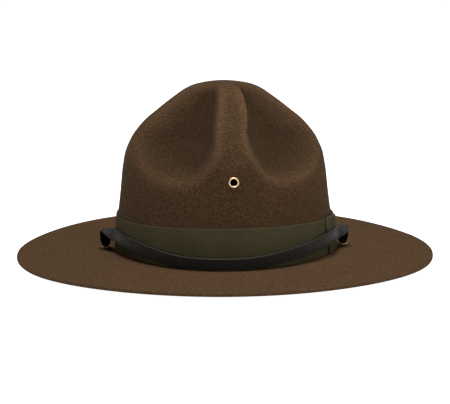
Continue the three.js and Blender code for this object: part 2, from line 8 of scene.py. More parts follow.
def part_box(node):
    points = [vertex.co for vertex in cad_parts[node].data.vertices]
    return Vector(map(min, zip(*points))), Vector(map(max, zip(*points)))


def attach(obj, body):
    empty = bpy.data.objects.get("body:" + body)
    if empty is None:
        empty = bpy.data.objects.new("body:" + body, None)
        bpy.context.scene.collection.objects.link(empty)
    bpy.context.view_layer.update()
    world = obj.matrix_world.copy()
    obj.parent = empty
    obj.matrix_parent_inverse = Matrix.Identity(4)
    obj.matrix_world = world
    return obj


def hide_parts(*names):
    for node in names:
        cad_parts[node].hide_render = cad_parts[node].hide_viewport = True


# The looks of a felt campaign hat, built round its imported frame.
# Shapes are worked out in millimetres in the frame's axes, and each mesh is made in metres.
# The front faces -Y and the wearer's left is +X. Bearings are degrees round the crown's oval:
# 0 is the wearer's left side, -90 the front and 90 the back.

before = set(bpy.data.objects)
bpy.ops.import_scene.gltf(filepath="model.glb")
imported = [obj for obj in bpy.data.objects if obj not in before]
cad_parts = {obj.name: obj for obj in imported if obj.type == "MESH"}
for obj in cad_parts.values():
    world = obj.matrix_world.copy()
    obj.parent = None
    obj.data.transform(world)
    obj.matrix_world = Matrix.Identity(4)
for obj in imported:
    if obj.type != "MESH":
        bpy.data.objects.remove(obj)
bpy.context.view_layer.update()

MM = 0.001

# Felt
BRIM_WIDTH = 79
BRIM_THICKNESS = 2.4
CROWN_WALL = 2.2
BRIM_FOOT_HEIGHT = 3.4
BRIM_END_LIFT = 2.6
BRIM_FLAT_SHARE = 0.1
BRIM_LIFT_START = 0.3
EDGE_ROUND = 0.7
EDGE_TURNS = (30, 60, 90)
FOOT_FILLET = 0.7
FOOT_TURNS = (30, 60)
BRIM_TOP = BRIM_FOOT_HEIGHT + BRIM_THICKNESS

felt_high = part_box("felt_body")[1]
CROWN_HALF_WIDTH = felt_high.x / MM - BRIM_WIDTH
CROWN_HALF_LENGTH = felt_high.y / MM - BRIM_WIDTH
CROWN_HEIGHT = felt_high.z / MM - BRIM_TOP

# Ribbon band and bow
GAP = 0.3
BAND_WIDTH = 29
BAND_THICKNESS = 1
BAND_TOP_WAVE = 1.8
RIB_PITCH = 1.1
RIB_DEPTH = 0.16
RIB_FULLNESS = 0.7
RIB_STEPS = 4
SELVEDGE_WIDTH = 0.9
SELVEDGE_SHADE = 0.9
FULL_RIBS_START = 1.4
RIBBON_EDGE_ROW = 0.12
RIBBON_EDGE_REACH = 0.4
BAND_EDGE_ROUND = 0.25
BOW_EDGE_ROUND = 0.12
BOW_BEARING = 0
BOW_FRONT_LENGTH = 53
BOW_REAR_LENGTH = 45
BOW_THICKNESS = 1.5
BOW_RISE = 0.6
BOW_GATHERS = 3
BOW_GATHER_DEPTH = 0.5
BOW_PINCH_SHARE = 0.74
BOW_PINCH_REACH = 0.62
BOW_UNDER_KNOT = 1.5
KNOT_WIDTH = 13
KNOT_THICKNESS = 2.2
KNOT_FULLNESS = 0.45
KNOT_SIDE_THICKNESS = 0.82
KNOT_ROUNDNESS = 0.95
KNOT_CREASE_DEPTH = 0.14
KNOT_CREASES = 2.5

# Leather chin strap and its slide
STRAP_WIDTH = 9.5
STRAP_THICKNESS = 1.6
STRAP_STANDOFF = 0.45
STRAP_ARCH_HEIGHT = 15
STRAP_ARCH_RADIUS = 3.2
STRAP_FOLD_RADIUS = 1.5
STRAP_FLOOR_CLEARANCE = 0.35
STRAP_BORE_CLEARANCE = 0.2
STRAP_BORE_TURN = 14.5
STRAP_CREASE_INSET = 1.25
STRAP_CREASE_WIDTH = 0.6
STRAP_CREASE_DEPTH = 0.3
STRAP_CREASE_ROUND = 0.7
STRAP_BEVEL = 0.35
STRAP_BEVEL_ROUND = 0.3
STRAP_SWELL = 0.04
STRAP_SHARP_ANGLE = 32
SLIDE_LENGTH = 8
SLIDE_WALL = 1
SLIDE_CLEARANCE = 0.4
SLIDE_BEVEL = 0.3
SLIDE_CORNER = 0.25

# Brass eyelets
EYELET_BORE_RADIUS = 2.5
EYELET_BARREL_WALL = 0.45
EYELET_FLANGE_RADIUS = 4.3
EYELET_FLANGE_THICKNESS = 0.55
EYELET_ROLL_INSET = 0.35
EYELET_ROLL_LIFT = 0.1
EYELET_BACK_INSET = 0.3
EYELET_BACK_BORE_ROUND = [(0.15, 0.6), (0.5, 1)]
EYELET_BACK_RIM_ROUND = [(0.4, 1), (0, 0.5)]
EYELET_BORE_FLARE = 0.12
EYELET_RISE = 0.25
EYELET_CUT_REACH = 6
CROWN_EYELET_HEIGHT = 64.7
BRIM_EYELET_REACH = 8.6
BRIM_EYELET_SKEW = 4

# Mesh fineness
RIDGE_STEPS = 60
FELT_COLUMNS = 320
FELT_ROW_STEP = 1.6
BRIM_ROW_STEP = 3
RIBBON_ROWS = 7
BOW_FOLD_STEPS = 9
KNOT_COLUMNS = 64
KNOT_ROWS = 96
STRAP_STEPS = 10
SLIDE_CORNER_STEPS = 6
EYELET_STEPS = 64
EYELET_ROLL_STEPS = 15

FRONT = -90
SIDE = 0
BACK = 90

# Colours, from dark to light: a place on the noise and a linear colour
FELT_COLOURS = [
    (0.4, (0.035, 0.0200, 0.0097)),
    (0.5, (0.057, 0.0322, 0.0162)),
    (0.6, (0.085, 0.0480, 0.0245)),
]
RIBBON_COLOURS = [(0.3, (0.058, 0.050, 0.0240)), (0.7, (0.092, 0.079, 0.0390))]
# The ribbon's painted shade in its grooves and along its edges: its colour, and how far the
# colour goes over to it
RIBBON_SHADE_COLOUR = (0.014, 0.012, 0.006)
RIBBON_SHADE_SHARE = 0.6
LEATHER_COLOURS = [(0.3, (0.0255, 0.0240, 0.0205)), (0.7, (0.0370, 0.0350, 0.0300))]
FLESH_COLOURS = [(0.35, (0.0022, 0.0019, 0.0016)), (0.65, (0.0050, 0.0042, 0.0036))]
BRASS_COLOURS = [(0.3, (0.78, 0.53, 0.28)), (0.7, (0.93, 0.69, 0.42))]

# Noises: scale per metre, detail, roughness and distortion
FELT_FIBRES = (1100, 4, 0.6, 0.5)
FELT_CLUMPS = (480, 3)
FELT_CLOUDS = (30, 2)
RIBBON_THREADS = (1400, 3, 0.6)
RIBBON_CLOUDS = (40, 3)
LEATHER_GRAIN = (1500, 4, 0.6)
LEATHER_PORES = (420, 3, 0.5, 0.4)
FLESH_NAP = (1300, 4, 0.7)
BRASS_TARNISH = (350, 4, 0.6)
BRASS_WAVES = (900, 2)
NOISE_RANGE = (0.3, 0.7)

# What a noise changes: the share of the clumps in the felt's flecks, tones and roughnesses
FELT_CLUMP_SHARE = 0.28
FELT_TONES = (0.96, 1.04)
RIBBON_TONES = (0.92, 1.08)
LEATHER_PORE_HEIGHT = 0.6
LEATHER_ROUGHNESS = (0.44, 0.54)
BRASS_ROUGHNESS = (0.5, 0.42)

# Bumps: strength, and distance in metres
FELT_BUMP = (0.7, 0.0005)
RIBBON_BUMP = (0.5, 0.0003)
LEATHER_BUMP = (0.2, 0.0002)
FLESH_BUMP = (0.4, 0.0003)
BRASS_BUMP = (0.05, 0.0001)

# The shader's own values
FELT_SURFACE = {
    "Roughness": 0.95,
    "Specular IOR Level": 0.04,
    "Sheen Weight": 0.03,
    "Sheen Roughness": 0.5,
    "Sheen Tint": (0.8, 0.5, 0.3, 1),
}
RIBBON_SURFACE = {"Roughness": 0.85, "Specular IOR Level": 0.06}
LEATHER_SURFACE = {"Specular IOR Level": 0.07}
FLESH_SURFACE = {"Roughness": 0.9, "Specular IOR Level": 0.1}
BRASS_SURFACE = {"Metallic": 1}
FLOOR_SURFACE = {
    "Base Color": (0.45, 0.45, 0.45, 1),
    "Roughness": 0.9,
    "Specular IOR Level": 0.1,
    "Emission Color": (1, 1, 1, 1),
}

# The floor's own light, and where it fades out under the hat, in metres from the middle
FLOOR_GLOW = 0.98
FLOOR_COVERED = (0.12, 0.15)
FLOOR_HALF_SIZE = 20

# The felt's painted light and shade, laid over its colour. Its relief is 0 in the bottom of a
# dent, the darkest painted shade, 0.5 on plain felt and 1 on a ridge's painted highlight, and
# the ramp below is half of what the colour is multiplied by there.
FELT_PAINTED_LIGHT = [
    (0, (0.25, 0.265, 0.24)),
    (0.5, (0.5, 0.5, 0.5)),
    (1, (0.76, 0.70, 0.69)),
]
RELIEF_PLAIN = 0.5
# The brim is a little lighter than plain felt: painted light on its upward face.
BRIM_PAINTED_LIGHT = 0.57
# How far off the bend of the felt is read, in millimetres round the crown and in rows up it,
# and how much it counts low down and at the peak. An outward bend gets a painted highlight and
# an inward bend painted shade, more at the peak, where the ridges face the light from above.
RELIEF_REACH = 8
RELIEF_ROWS = 5
RELIEF_GAIN = 0.32
RELIEF_PEAK_GAIN = 0.6
# How much painted shade a dent gets: from which share on, the share of a full dent, how
# quickly it builds up, and how much less it gets at the sides
RELIEF_DENT = 1.7
RELIEF_DENT_START = 0.04
RELIEF_FULL_DENT = 0.35
RELIEF_DENT_GROWTH = 0.6
RELIEF_SIDE_LOSS = 0.5
RELIEF_SIDE_NARROWING = 3.5
# Painted shade round the crown's middle: a share of the height and how much the relief drops
BELT_PAINTED_SHADE = [(0.42, 0), (0.56, 0.14), (0.72, 0.12), (0.9, 0)]

# The photograph's camera, in degrees and millimetres from the frame's origin, and the range
# that it shows, in metres
CAMERA_AZIMUTH = -4.4
CAMERA_DISTANCE = 1400
CAMERA_HEIGHT = 269.1
CAMERA_PITCH = 9.269
CAMERA_PAN = 0.029
CAMERA_ROLL = 0.45
CAMERA_LENS = 142.55
CAMERA_SENSOR = 36
CAMERA_CLIP = (0.05, 60)

# The studio, with right as the camera sees it: each light's name, its place and size in
# metres, and its power in watts
WORLD_STRENGTH = 0.06
LIGHTS = [
    ("overhead", (0, -0.15, 2.0), (1.0, 1.0), 55),
    ("right", (1.6, 0.1, 0.9), (0.7, 0.7), 4.5),
    ("front", (0.5, -1.6, 0.4), (0.7, 0.4), 4),
]
LIGHTS_AIM = (0, 0, 0.06)

# The outline of a ridge from the crown's foot to its peak: height as a share of the crown's
# height, reach as a share of the crown's half width or half length.
RIDGE_PROFILE = [
    (0, 1),
    (0.085, 0.997),
    (0.17, 0.989),
    (0.25, 0.974),
    (0.33, 0.959),
    (0.405, 0.947),
    (0.465, 0.938),
    (0.52, 0.925),
    (0.575, 0.909),
    (0.625, 0.88),
    (0.675, 0.841),
    (0.725, 0.784),
    (0.775, 0.713),
    (0.82, 0.628),
    (0.87, 0.533),
    (0.915, 0.44),
    (0.95, 0.363),
    (0.978, 0.27),
    (0.995, 0.14),
    (1, 0),
]

# The four dents of the peak: the bearing where each is deepest, the degrees from there to its
# edge towards the front or back ridge and towards the side ridge, how many of the first go by
# the peak, its depth as a multiple of the shares below, and how gently the felt rolls over its
# edge.
DENTS = [
    (-57, 23, 43, 16, 1, 0.06),
    (-123, 23, 43, 0, 1.05, 0.12),
    (55, 24, 41, 4, 1, 0.1),
    (125, 24, 41, 4, 1, 0.1),
]
DENT_NARROWING_START = 0.75
DENT_LIP = 0.47
DENT_CENTRE = 0.7
DENT_END_ROUNDNESS = 3
DENT_SIDE_ROUNDNESS = 1.8
DENT_LOW_ROUNDNESS = 1.45

# How far a dent goes in at each height, as a share of the ridge's own reach there.
DENT_DEPTH = [
    (0.45, 0.22),
    (0.6, 0.28),
    (0.7, 0.33),
    (0.8, 0.35),
    (0.88, 0.32),
    (0.94, 0.25),
    (0.98, 0.12),
    (1, 0),
]

# How much further than its length the front loop's folded end reaches, from its lower edge to
# its upper edge: a share of the height and millimetres.
BOW_END_WAVE = [(0, -3.6), (0.15, -2.4), (0.4, 0), (0.72, 2.2), (0.86, 1.8), (1, 0.6)]
BOW_FLAT_END = [(0, 0), (1, 0)]

# The strap's run round the front of the crown: bearing, the height of its middle line above
# the brim as a share of its width, its lean off the band in degrees, and its share of the
# bow's relief.
STRAP_FRONT_RUN = [
    (-168, 1.43, 10, 0),
    (-157, 1.34, 4, 0),
    (-146, 1.22, 0, 0),
    (-134, 0.95, -4, 0),
    (-122, 0.68, -10, 0),
    (-110, 0.54, -15, 0),
    (-97, 0.53, -17, 0),
    (-84, 0.56, -15, 0),
    (-72, 0.7, -10, 0),
    (-59, 0.98, -5, 0),
    (-47, 1.2, 0, 0.35),
    (-36, 1.44, 3, 1),
    (-25, 1.53, 6, 1),
]

# The strap's turn off the crown's side and over towards a brim eyelet: out as a share of
# BRIM_EYELET_REACH, back of STRAP_WIDTH and up of STRAP_ARCH_HEIGHT, the degrees it has turned
# from on edge to flat, and its share of the bow's relief.
STRAP_TURN_LEFT = [
    (-0.93, -2.15, 0.9, 9, 1),
    (-0.42, -1.42, 0.945, 46, 0.5),
    (-0.07, -0.79, 0.98, 78, 0),
]
STRAP_TURN_RIGHT = [
    (-0.64, -2, 0.965, 33, 0),
    (-0.36, -1.32, 1.025, 68, 0),
    (-0.14, -0.74, 1.03, 80, 0),
]

# The strap going over the arch: back and down as shares of STRAP_ARCH_RADIUS, its turn and its
# share of STRAP_WIDTH. Then down into the eyelet: up as a share of STRAP_ARCH_HEIGHT.
STRAP_ARCH = [(-1, 0, 83, 0.9), (-0.29, 0.29, 90, 0.9)]
STRAP_DROP = [(0.75, 0.94), (0.46, 0.92), (0.2, 0.72)]

# The strap under the brim: the share of the way from the eyelet to the head opening's wall,
# the degrees that it has turned from flat to on edge, and its share of STRAP_WIDTH.
STRAP_UNDER_RUN = [
    (0.07, 0, 0.6),
    (0.18, 0, 1),
    (0.41, 0, 1),
    (0.6, 4, 1),
    (0.73, 32, 1),
    (0.85, 64, 1),
]
STRAP_BACK_BEARINGS = [42, 54, 66, 78, 90, 102, 114, 126, 138]


def smooth01(value):
    t = np.clip(value, 0, 1)
    return t * t * (3 - 2 * t)


def unit(vectors):
    vectors = np.asarray(vectors, float)
    return vectors / np.maximum(np.linalg.norm(vectors, axis=-1, keepdims=True), 1e-12)


def table_value(rows, x):
    """A smooth value between a table's rows of (place, value), level outside them."""
    keys = np.array([row[0] for row in rows], float)
    values = np.array([row[1] for row in rows], float)
    slopes = np.empty_like(values)
    slopes[1:-1] = (values[2:] - values[:-2]) / (keys[2:] - keys[:-2])
    slopes[0] = (values[1] - values[0]) / (keys[1] - keys[0])
    slopes[-1] = (values[-1] - values[-2]) / (keys[-1] - keys[-2])
    row = np.clip(np.searchsorted(keys, x, side="right") - 1, 0, len(keys) - 2)
    span = keys[row + 1] - keys[row]
    t = np.clip((x - keys[row]) / span, 0, 1)
    t2 = t * t
    t3 = t2 * t
    return (
        values[row] * (2 * t3 - 3 * t2 + 1)
        + values[row + 1] * (3 * t2 - 2 * t3)
        + span * (slopes[row] * (t3 - 2 * t2 + t) + slopes[row + 1] * (t3 - t2))
    )


def ridge_samples(steps):
    """The ridge's outline as many heights and reaches, round over the peak."""
    rows = np.array(RIDGE_PROFILE, float)
    first = 2 * rows[0] - rows[1]
    over = np.array([rows[-2][0], -rows[-2][1]])
    padded = np.vstack([first, rows, over])
    points = []
    for i in range(1, len(padded) - 2):
        t = np.linspace(0, 1, steps, endpoint=False)[:, None]
        before, here, after, beyond = padded[i - 1 : i + 3]
        leave = (after - before) / 2
        arrive = (beyond - here) / 2
        points.append(
            here
            + leave * t
            + (3 * (after - here) - 2 * leave - arrive) * t**2
            + (2 * (here - after) + leave + arrive) * t**3
        )
    points.append(rows[-1:])
    return np.vstack(points)


RIDGE = ridge_samples(RIDGE_STEPS)


def reach_at(height):
    return np.interp(height, RIDGE[:, 0], RIDGE[:, 1])


def dent_share(bearing, height):
    """The share of the reach that the dents take away."""
    share = 0
    narrowed = np.clip((height - DENT_NARROWING_START) / (1 - DENT_NARROWING_START), 0, 1)
    for middle, to_end, to_side, narrowing, depth, softness in DENTS:
        gap = np.abs((bearing - middle + 180) % 360 - 180)
        endwards = np.abs(np.sin(np.radians(bearing))) > abs(math.sin(math.radians(middle)))
        across = gap / np.where(endwards, to_end - narrowing * narrowed, to_side)
        roundness = np.where(endwards, DENT_END_ROUNDNESS, DENT_SIDE_ROUNDNESS)
        below = np.maximum(0, (DENT_CENTRE - height) / (DENT_CENTRE - DENT_LIP))
        inside = 1 - across**roundness - below**DENT_LOW_ROUNDNESS
        bowl = (inside + np.hypot(inside, softness)) / 2
        share = share + depth * bowl * table_value(DENT_DEPTH, height)
    return share


def crown_outer(bearing, height, reach):
    """Points on the crown's outer face."""
    bearing, height, reach = np.broadcast_arrays(bearing, height, reach)
    angle = np.radians(bearing)
    inwards = reach * (1 - dent_share(bearing, height))
    return np.stack(
        [
            CROWN_HALF_WIDTH * inwards * np.cos(angle),
            CROWN_HALF_LENGTH * inwards * np.sin(angle),
            BRIM_TOP + CROWN_HEIGHT * height,
        ],
        -1,
    )


def outward(bearing):
    """The level direction square to the crown's oval."""
    angle = np.radians(np.asarray(bearing, float))
    across = np.cos(angle) / CROWN_HALF_WIDTH
    along = np.sin(angle) / CROWN_HALF_LENGTH
    return unit(np.stack([across, along, np.zeros_like(angle)], -1))


def beside_wall(bearing, z, out):
    """Points beside the plain lower wall, by height above the floor and distance out."""
    bearing, z, out = np.broadcast_arrays(
        np.asarray(bearing, float), np.asarray(z, float), np.asarray(out, float)
    )
    height = np.maximum(0, (z - BRIM_TOP) / CROWN_HEIGHT)
    points = crown_outer(bearing, height, reach_at(height))
    points[..., 2] = z
    return points + outward(bearing) * out[..., None]


def brim_top(bearing, share):
    """The brim's upper face: flat on the floor at the sides, lifted at the front and back."""
    bearing, share = np.broadcast_arrays(
        np.asarray(bearing, float), np.asarray(share, float)
    )
    angle = np.radians(bearing)
    towards_end = (np.abs(np.sin(angle)) - BRIM_LIFT_START) / (1 - BRIM_LIFT_START)
    lift = BRIM_END_LIFT * smooth01(towards_end)
    inwards = np.clip(1 - share / (1 - BRIM_FLAT_SHARE), 0, 1)
    width = share * BRIM_WIDTH
    return np.stack(
        [
            (CROWN_HALF_WIDTH + width) * np.cos(angle),
            (CROWN_HALF_LENGTH + width) * np.sin(angle),
            BRIM_FOOT_HEIGHT * inwards + lift * (1 - inwards) + BRIM_THICKNESS,
        ],
        -1,
    )


def ring_faces(rows, columns, close_rows=False):
    """Quads between rings of points. The columns always join round."""
    faces = []
    for row in range(rows if close_rows else rows - 1):
        here = row * columns
        there = (row + 1) % rows * columns
        for i in range(columns):
            j = (i + 1) % columns
            faces.append((here + i, here + j, there + j, there + i))
    return faces


def make_piece(name, points, faces, material, node):
    """A smooth mesh from points in millimetres, on the hat's body, in place of a node."""
    mesh = bpy.data.meshes.new(name)
    mesh.from_pydata((np.asarray(points, float) * MM).tolist(), [], faces)
    mesh.update()
    piece = bpy.data.objects.new(name, mesh)
    bpy.context.scene.collection.objects.link(piece)
    face_out(mesh)
    mesh.polygons.foreach_set("use_smooth", [True] * len(mesh.polygons))
    mesh.materials.append(material)
    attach(piece, "root")
    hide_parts(node)
    return piece


def face_out(mesh):
    """Turns the faces over where they face into the solid."""
    count = len(mesh.vertices)
    places = np.empty(count * 3)
    mesh.vertices.foreach_get("co", places)
    places = places.reshape(-1, 3)
    mesh.calc_loop_triangles()
    corners = np.empty(len(mesh.loop_triangles) * 3, np.int32)
    mesh.loop_triangles.foreach_get("vertices", corners)
    a, b, c = places[corners.reshape(-1, 3)].transpose(1, 0, 2)
    if np.einsum("ij,ij->i", a, np.cross(b, c)).sum() < 0:
        mesh.flip_normals()


def set_attribute(piece, name, values):
    attribute = piece.data.attributes.new(name, "FLOAT", "POINT")
    attribute.data.foreach_set("value", np.asarray(values, np.float32).ravel())


def crown_eyelet_seat():
    height = CROWN_EYELET_HEIGHT / CROWN_HEIGHT
    centre = crown_outer(FRONT, height, reach_at(height))
    step = 0.004
    up = crown_outer(FRONT, height + step, reach_at(height + step)) - crown_outer(
        FRONT, height - step, reach_at(height - step)
    )
    return centre, unit(np.cross(np.array([1.0, 0, 0]), up))


def brim_eyelet_seat(side):
    x = CROWN_HALF_WIDTH + BRIM_EYELET_REACH
    z = brim_top(SIDE, BRIM_EYELET_REACH / BRIM_WIDTH)[2]
    slope = BRIM_FOOT_HEIGHT / (BRIM_WIDTH * (1 - BRIM_FLAT_SHARE))
    return np.array([side * x, -side * BRIM_EYELET_SKEW, z]), unit([side * slope, 0, 1])


def stood_on(points, centre, facing):
    """Points made round the Z axis, turned to face a way and put in place."""
    turn = Vector((0, 0, 1)).rotation_difference(Vector(facing)).to_matrix()
    return np.asarray(points) @ np.array(turn).T + centre


# Materials

# The sockets of a Mix node that mixes colours
MIX_FACTOR, MIX_COLOUR, MIX_OTHER = 0, 6, 7
MIX_RESULT = 2


def new_material(name, surface):
    material = bpy.data.materials.new(name)
    material.use_nodes = True
    tree = material.node_tree
    shader = tree.nodes["Principled BSDF"]
    for socket, value in surface.items():
        shader.inputs[socket].default_value = value
    place = add_node(tree, "ShaderNodeTexCoord").outputs["Object"]
    return material, tree, shader, place


def add_node(tree, kind, inputs=None, **settings):
    node = tree.nodes.new(kind)
    for key, value in settings.items():
        setattr(node, key, value)
    for key, value in (inputs or {}).items():
        if isinstance(value, bpy.types.NodeSocket):
            tree.links.new(value, node.inputs[key])
        else:
            node.inputs[key].default_value = value
    return node


def noise(tree, place, scale, detail, roughness=0.5, distortion=0.0):
    inputs = {"Vector": place, "Scale": scale, "Detail": detail}
    inputs |= {"Roughness": roughness, "Distortion": distortion}
    return add_node(tree, "ShaderNodeTexNoise", inputs).outputs["Fac"]


def maths(tree, operation, a, b):
    return add_node(tree, "ShaderNodeMath", {0: a, 1: b}, operation=operation).outputs[0]


def multiplied(tree, colour, factor):
    node = add_node(
        tree, "ShaderNodeVectorMath", {0: colour, 1: factor}, operation="MULTIPLY"
    )
    return node.outputs[0]


def mapped(tree, value, low, high, to_low, to_high):
    inputs = {"Value": value, "From Min": low, "From Max": high}
    inputs |= {"To Min": to_low, "To Max": to_high}
    return add_node(tree, "ShaderNodeMapRange", inputs).outputs["Result"]


def colour_ramp(tree, factor, stops):
    node = add_node(tree, "ShaderNodeValToRGB", {"Fac": factor})
    ramp = node.color_ramp
    while len(ramp.elements) < len(stops):
        ramp.elements.new(0.5)
    for element, (place, colour) in zip(ramp.elements, stops):
        element.position = place
        element.color = (*colour, 1)
    return node.outputs["Color"]


def mixed(tree, factor, colour, other):
    """The colour going over to the other one, a plain colour, as the factor rises."""
    node = add_node(
        tree,
        "ShaderNodeMix",
        {MIX_FACTOR: factor, MIX_COLOUR: colour, MIX_OTHER: (*other, 1)},
        data_type="RGBA",
    )
    return node.outputs[MIX_RESULT]


def bumped(tree, shader, height, strength, distance):
    node = add_node(
        tree,
        "ShaderNodeBump",
        {"Height": height, "Strength": strength, "Distance": distance},
    )
    tree.links.new(node.outputs["Normal"], shader.inputs["Normal"])


def felt_material():
    material, tree, shader, place = new_material("felt", FELT_SURFACE)
    fibres = mapped(tree, noise(tree, place, *FELT_FIBRES), 0, 1, 0, 1 - FELT_CLUMP_SHARE)
    clumps = mapped(tree, noise(tree, place, *FELT_CLUMPS), 0, 1, 0, FELT_CLUMP_SHARE)
    fleck = maths(tree, "ADD", fibres, clumps)
    tone = mapped(tree, noise(tree, place, *FELT_CLOUDS), *NOISE_RANGE, *FELT_TONES)
    toned = multiplied(tree, colour_ramp(tree, fleck, FELT_COLOURS), tone)
    # The relief attribute paints light and shade on the felt: shade in the dents and round the
    # crown's middle, highlights on the ridges, lips and peak, and a lighter brim.
    relief = add_node(tree, "ShaderNodeAttribute", attribute_name="relief").outputs["Fac"]
    painted_light = multiplied(tree, toned, colour_ramp(tree, relief, FELT_PAINTED_LIGHT))
    doubled = add_node(
        tree, "ShaderNodeVectorMath", {0: painted_light, "Scale": 2}, operation="SCALE"
    )
    tree.links.new(doubled.outputs[0], shader.inputs["Base Color"])
    bumped(tree, shader, fleck, *FELT_BUMP)
    return material


def ribbon_material():
    material, tree, shader, place = new_material("ribbon", RIBBON_SURFACE)
    threads = noise(tree, place, *RIBBON_THREADS)
    tone = mapped(tree, noise(tree, place, *RIBBON_CLOUDS), *NOISE_RANGE, *RIBBON_TONES)
    toned = multiplied(tree, colour_ramp(tree, threads, RIBBON_COLOURS), tone)
    # The groove attribute is painted shade: darker in the grooves between the ribs and along
    # the edges.
    groove = add_node(tree, "ShaderNodeAttribute", attribute_name="groove").outputs["Fac"]
    depth = maths(tree, "MULTIPLY", groove, RIBBON_SHADE_SHARE)
    dark = mixed(tree, depth, toned, RIBBON_SHADE_COLOUR)
    tree.links.new(dark, shader.inputs["Base Color"])
    bumped(tree, shader, threads, *RIBBON_BUMP)
    return material


def leather_material():
    material, tree, shader, place = new_material("leather", LEATHER_SURFACE)
    pores = noise(tree, place, *LEATHER_PORES)
    rough = mapped(tree, pores, *NOISE_RANGE, *LEATHER_ROUGHNESS)
    tree.links.new(colour_ramp(tree, pores, LEATHER_COLOURS), shader.inputs["Base Color"])
    tree.links.new(rough, shader.inputs["Roughness"])
    raised = maths(tree, "MULTIPLY", pores, LEATHER_PORE_HEIGHT)
    height = maths(tree, "ADD", noise(tree, place, *LEATHER_GRAIN), raised)
    bumped(tree, shader, height, *LEATHER_BUMP)
    return material


def flesh_material():
    """The strap's rough inner side."""
    material, tree, shader, place = new_material("leather_flesh", FLESH_SURFACE)
    nap = noise(tree, place, *FLESH_NAP)
    tree.links.new(colour_ramp(tree, nap, FLESH_COLOURS), shader.inputs["Base Color"])
    bumped(tree, shader, nap, *FLESH_BUMP)
    return material


def brass_material():
    material, tree, shader, place = new_material("brass", BRASS_SURFACE)
    tarnish = noise(tree, place, *BRASS_TARNISH)
    rough = mapped(tree, tarnish, *NOISE_RANGE, *BRASS_ROUGHNESS)
    tree.links.new(colour_ramp(tree, tarnish, BRASS_COLOURS), shader.inputs["Base Color"])
    tree.links.new(rough, shader.inputs["Roughness"])
    bumped(tree, shader, noise(tree, place, *BRASS_WAVES), *BRASS_BUMP)
    return material


def floor_material():
    """Plain and pale. The floor that the hat covers gives no light, so that the head hollow is
    as dark as it would be on a real floor."""
    material, tree, shader, place = new_material("floor", FLOOR_SURFACE)
    reach = add_node(tree, "ShaderNodeVectorMath", {0: place}, operation="LENGTH")
    glow = mapped(tree, reach.outputs["Value"], *FLOOR_COVERED, 0, FLOOR_GLOW)
    tree.links.new(glow, shader.inputs["Emission Strength"])
    return material


# Pieces


def crown_rows():
    """Heights and reaches up the crown, an even step apart along the ridge."""
    ridge = RIDGE * [CROWN_HEIGHT, CROWN_HALF_LENGTH]
    steps = np.linalg.norm(np.diff(ridge, axis=0), axis=1)
    along = np.concatenate([[0], np.cumsum(steps)])
    count = int(along[-1] / FELT_ROW_STEP)
    wanted = np.linspace(0, along[-1], count + 1)[:-1]
    heights = np.interp(wanted, along, RIDGE[:, 0])
    reaches = np.interp(wanted, along, RIDGE[:, 1])
    return heights, reaches


def felt_light_and_shade(outer, normals, bearings, heights):
    """The crown's relief for its painted light and shade: how far the felt bends outwards at
    each place, for painted highlights and shade on the bends, less the painted shade of the
    dents and the middle belt."""
    up = np.roll(outer, RELIEF_ROWS, axis=0)
    down = np.roll(outer, -RELIEF_ROWS, axis=0)
    up[:RELIEF_ROWS] = outer[:RELIEF_ROWS]
    down[-RELIEF_ROWS:] = outer[-RELIEF_ROWS:]
    bend = up + down - 2 * outer
    spacing = np.linalg.norm(outer - np.roll(outer, 1, axis=1), axis=-1).mean(axis=1)
    narrowest = 0.01
    furthest = FELT_COLUMNS // 8
    for row, gap in enumerate(spacing):
        columns = int(np.clip(RELIEF_REACH / max(gap, narrowest), 1, furthest))
        ring = outer[row]
        beside = np.roll(ring, columns, axis=0) + np.roll(ring, -columns, axis=0)
        bend[row] += beside - 2 * ring
    out = -np.sum(bend * normals, axis=-1) / RELIEF_REACH
    plain = RELIEF_REACH / CROWN_HALF_WIDTH
    peak = smooth01((heights - DENT_LIP) / (1 - DENT_LIP))[:, None] ** 2
    gain = RELIEF_GAIN + (RELIEF_PEAK_GAIN - RELIEF_GAIN) * peak

    dent = dent_share(bearings[None, :], heights[:, None]) - RELIEF_DENT_START
    full = RELIEF_FULL_DENT
    spread = full * (np.maximum(dent, 0) / full) ** RELIEF_DENT_GROWTH
    sidewards = np.abs(np.cos(np.radians(bearings)))[None, :] ** RELIEF_SIDE_NARROWING
    shade = spread * (1 - RELIEF_SIDE_LOSS * sidewards) * RELIEF_DENT
    belt = table_value(BELT_PAINTED_SHADE, heights)[:, None]
    return np.clip(RELIEF_PLAIN + (out - plain) * gain - shade - belt, 0, 1)


